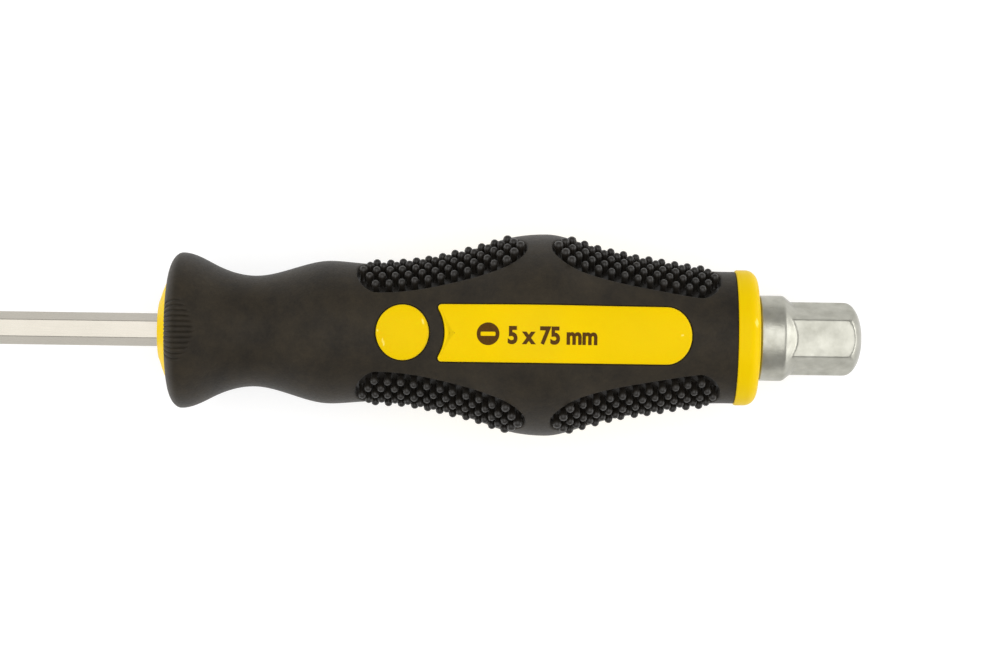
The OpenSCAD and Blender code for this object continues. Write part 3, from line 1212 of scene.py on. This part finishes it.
# ---------------------------------------------------------------------------
# Steel
# ---------------------------------------------------------------------------
@dataclass
class Blade:
    """The hexagonal bar with its ground tip and the tang's pinched wings."""

    across: float = 5.0
    tip_w: float = 5.0
    tip_t: float = 0.8
    grind_r: float = 62.0
    grind_end: float = 16.0
    tip_flat: float = 1.5
    shoulder: float = 9.0
    crispness: float = 56.0
    count: int = 192
    tang_end: float = 11.0
    wing_x: tuple[float, float] = (38.0, 52.0)
    wing: tuple[float, float, float] = (9.0, 8.6, 1.4)
    wing_edge: float = 0.3

    def section(self, along: float, scale: float = 1.0) -> list[Vector]:
        """Return the section at a distance from the tip's end."""
        corner = self.across / 2 / math.cos(math.radians(30))
        ground = min(along, self.grind_end)
        rise = self.tip_t / 2 + self.grind_r - math.sqrt(self.grind_r**2 - ground**2)
        half_t = min(self.across / 2, rise)
        widening = (along - self.tip_flat) / (self.shoulder - self.tip_flat)
        half_w = mix(self.tip_w / 2, corner, min(1.0, max(0.0, widening)))
        planes = [(d, self.across / 2) for d in (60, 120, 240, 300)]
        planes += [(0, half_t), (180, half_t), (90, half_w + 0.05), (270, half_w + 0.05)]
        return faceted_row(along - BLADE_LEN, planes, self.crispness, self.count, scale)

    def build(self, palette: Palette) -> None:
        """Build the bar from section to section, and the wings as bevelled plates."""
        end = BLADE_LEN + HANDLE_LEN + self.tang_end
        rows = [self.section(0.0, s) for s in (1e-4, 0.5, 0.93)]
        rows += [self.section(0.06, 1.0)]
        rows += [self.section(x) for x in steps(0.7, self.grind_end + 0.4, 26)]
        rows += [self.section(x) for x in steps(self.grind_end + 6, end - 0.3, 12)]
        rows += [self.section(end, s) for s in (0.94, 0.5, 1e-4)]
        bm = bmesh.new()
        loft(bm, rows, closed=True)
        for x in self.wing_x:
            plate = bmesh.new()
            size = Matrix.Diagonal((*self.wing, 1.0))
            middle = Matrix.Translation((x + self.wing[0] / 2, 0, 0))
            bmesh.ops.create_cube(plate, size=1.0, matrix=middle @ size)
            bmesh.ops.bevel(
                plate,
                geom=plate.edges[:],
                offset=self.wing_edge,
                offset_type="OFFSET",
                segments=2,
                profile=0.5,
                affect="EDGES",
                material=-1,
            )
            add_copy(bm, plate, Matrix.Identity(4))
            plate.free()
        finish_piece(bm, "blade_bar", palette.blade.material(), ["blade"], 50)


@dataclass
class StrikeCap:
    """The forged cap: a round collar, a cone and a hexagon whose end is domed."""

    across: float = 11.0
    collar_r: float = 7.35
    collar_len: float = 4.5
    edge: float = 0.4
    shoulder: float = 0.65
    cone_angle: float = 40.0
    dome_len: float = 3.6
    dome_over: float = 0.1
    dome_power: float = 2.2
    crispness: float = 110.0
    blend: float = 60.0
    round_to: float = 2.0
    cone_to: float = 7.2
    flats_from: float = 7.8
    count: int = 216

    def neck(self, x: float) -> float:
        """Return the collar's and the cone's radius at a distance from the butt ring."""
        if x < self.edge:
            t = (self.edge - x) / self.edge
            return self.collar_r - self.edge * (1 - math.sqrt(max(0.0, 1 - t * t)))
        bend = self.collar_len - self.shoulder
        lean = math.radians(self.cone_angle)
        bend_r = self.shoulder / math.sin(lean)
        if x < bend:
            return self.collar_r
        if x < self.collar_len:
            return self.collar_r - bend_r + math.sqrt(bend_r**2 - (x - bend) ** 2)
        start = self.collar_r - bend_r * (1 - math.cos(lean))
        return max(0.01, start - (x - self.collar_len) * math.tan(lean))

    def dome(self, x: float) -> float:
        """Return the radius of the turned end at a distance from the butt ring."""
        start = CAP_LEN - self.dome_len
        full = self.across / 2 / math.cos(math.radians(30)) + self.dome_over
        t = max(0.0, (x - start) / self.dome_len)
        return full * max(0.0, 1 - t**self.dome_power) ** (1 / self.dome_power)

    def section(self, x: float) -> list[Vector]:
        """Return the section: the larger of the neck and of the hexagon cut by the dome."""
        place = HANDLE_LEN + x
        neck = self.neck(x)
        if x < self.round_to:
            return circle_row(place, neck, self.count)
        end = max(self.dome(x), 1e-3)
        row = []
        for flat in faceted_row(place, hexagon(self.across), self.crispness, self.count):
            r = math.hypot(flat.y, flat.z)
            inner = (r**-self.blend + end**-self.blend) ** (-1 / self.blend)
            outer = inner
            if x < self.flats_from:
                outer = (inner**self.blend + neck**self.blend) ** (1 / self.blend)
            row.append(Vector((place, flat.y * outer / r, flat.z * outer / r)))
        return row

    def build(self, palette: Palette) -> None:
        """Build the cap from section to section."""
        last = CAP_LEN - 0.004
        places = [
            *(self.edge * (1 - math.cos(math.radians(a))) for a in steps(0, 90, 6)),
            *steps(0.7, 3.2, 4),
            *steps(3.4, self.collar_len - self.shoulder - 0.05, 3),
            *steps(self.collar_len - self.shoulder, self.cone_to, 40),
            *steps(self.flats_from, CAP_LEN - self.dome_len - 0.1, 9),
            *(last - self.dome_len * (1 - math.sin(math.radians(a))) for a in steps(0, 90, 34)),
        ]
        rows = [circle_row(HANDLE_LEN, r, self.count) for r in (0.05, 3.0)]
        rows += [self.section(x) for x in places]
        rows.append(circle_row(HANDLE_LEN + CAP_LEN, 0.02, self.count))
        bm = bmesh.new()
        loft(bm, rows, closed=True)
        weld(bm, 0.03)
        finish_piece(bm, "strike_cap_forged", palette.cap.material(), ["strike_cap"], 60)


# ---------------------------------------------------------------------------
# Studio
# ---------------------------------------------------------------------------
@dataclass
class Studio:
    """Floor, soft light from all round and a camera above the grip."""

    camera_x: float = 133.6
    camera_y: float = 0.08
    distance: float = 500.0
    lens: float = 104.4
    roll: float = 0.8
    tilt: float = 0.7
    sky: float = 0.55
    softbox: float = 1.0
    softbox_radiance: float = 1.62
    softbox_height: float = 0.8
    side_size: tuple[float, float] = (0.24, 0.7)
    side_radiance: float = 3.0
    side_away: float = 0.6
    floor_half: float = 2.5
    floor_colour: str = "#bcbcbc"
    floor_glow: float = 0.6

    def camera(self) -> None:
        """Look down on the tool, leaning a little to one side, with its tip to the left."""
        data = bpy.data.cameras.new("camera")
        data.lens = self.lens
        data.sensor_width = 36.0
        data.clip_start = 0.01
        camera = bpy.data.objects.new("camera", data)
        place = Matrix.Translation((self.camera_x * MM, self.camera_y * MM, self.distance * MM))
        over = Matrix.Rotation(math.radians(self.tilt), 4, "X")
        camera.matrix_world = over @ place @ Matrix.Rotation(math.radians(self.roll), 4, "Z")
        bpy.context.scene.collection.objects.link(camera)
        bpy.context.scene.camera = camera

    def floor(self) -> None:
        """Lay a white opal sheet under the tool, lit a little from below."""
        bm = bmesh.new()
        bmesh.ops.create_grid(bm, x_segments=8, y_segments=8, size=self.floor_half)
        bmesh.ops.translate(bm, verts=bm.verts, vec=(0.1, 0, CAD_BOX[0].z - 0.1 * MM))
        mesh = bpy.data.meshes.new("floor")
        bm.to_mesh(mesh)
        bm.free()
        look = bpy.data.materials.new("opal_sheet")
        look.use_nodes = True
        shader = look.node_tree.nodes["Principled BSDF"]
        shader.inputs["Base Color"].default_value = srgb(self.floor_colour)
        shader.inputs["Roughness"].default_value = 0.9
        shader.inputs["Specular IOR Level"].default_value = 0.1
        shader.inputs["Emission Color"].default_value = (1, 1, 1, 1)
        shader.inputs["Emission Strength"].default_value = self.floor_glow
        mesh.materials.append(look)
        floor = bpy.data.objects.new("floor", mesh)
        bpy.context.scene.collection.objects.link(floor)

    def light(self) -> None:
        """Hang a large softbox over the tool and stand a low one at each end, in a white tent."""
        world = bpy.data.worlds.new("tent")
        world.use_nodes = True
        background = world.node_tree.nodes["Background"]
        background.inputs["Color"].default_value = (1, 1, 1, 1)
        background.inputs["Strength"].default_value = self.sky
        bpy.context.scene.world = world
        over = Matrix.Translation((self.camera_x * MM, 0, self.softbox_height))
        self.lamp("softbox", (self.softbox, self.softbox), self.softbox_radiance, over)
        height = self.side_size[0] / 2 + CAD_BOX[0].z
        for name, side in (("front_panel", -1), ("back_panel", 1)):
            upright = Matrix.Translation((self.camera_x * MM + side * self.side_away, 0, height))
            facing = Matrix.Rotation(math.radians(side * 90), 4, "Y")
            self.lamp(name, self.side_size, self.side_radiance, upright @ facing)

    def lamp(self, name: str, size: Flat, radiance: float, place: Matrix) -> None:
        """Hang a rectangular soft light.

        Args:
            name: Name of the light.
            size: Its two sides, in metres.
            radiance: Its brightness, where one is white.
            place: Its place and turn; it shines along its own -Z.
        """
        data = bpy.data.lights.new(name, "AREA")
        data.shape = "RECTANGLE"
        data.size, data.size_y = size
        data.energy = radiance * math.pi * size[0] * size[1]
        lamp = bpy.data.objects.new(name, data)
        lamp.matrix_world = place
        bpy.context.scene.collection.objects.link(lamp)

    def build(self) -> None:
        """Set up the camera, the floor and the light."""
        bpy.context.scene.view_settings.view_transform = "Standard"
        self.camera()
        self.floor()
        self.light()


def dress_core(palette: Palette) -> None:
    """Give the hard core, which shows only in the joints, its moulded finish."""
    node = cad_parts["handle_core"]
    node.data.materials.clear()
    node.data.materials.append(palette.yellow.material())


def main() -> None:
    """Build the tool piece by piece, then the studio around it."""
    logging.basicConfig(level=logging.INFO, format="%(message)s")
    palette = Palette()
    inlays = Inlays()
    Studio().build()
    Blade().build(palette)
    StrikeCap().build(palette)
    Mouldings().build(palette)
    inlays.build(palette)
    SizeMarking().build(palette, inlays.proud)
    GripSleeve().build(palette)
    PimpledPads().build(palette)
    dress_core(palette)


if __name__ == "__main__":
    main()
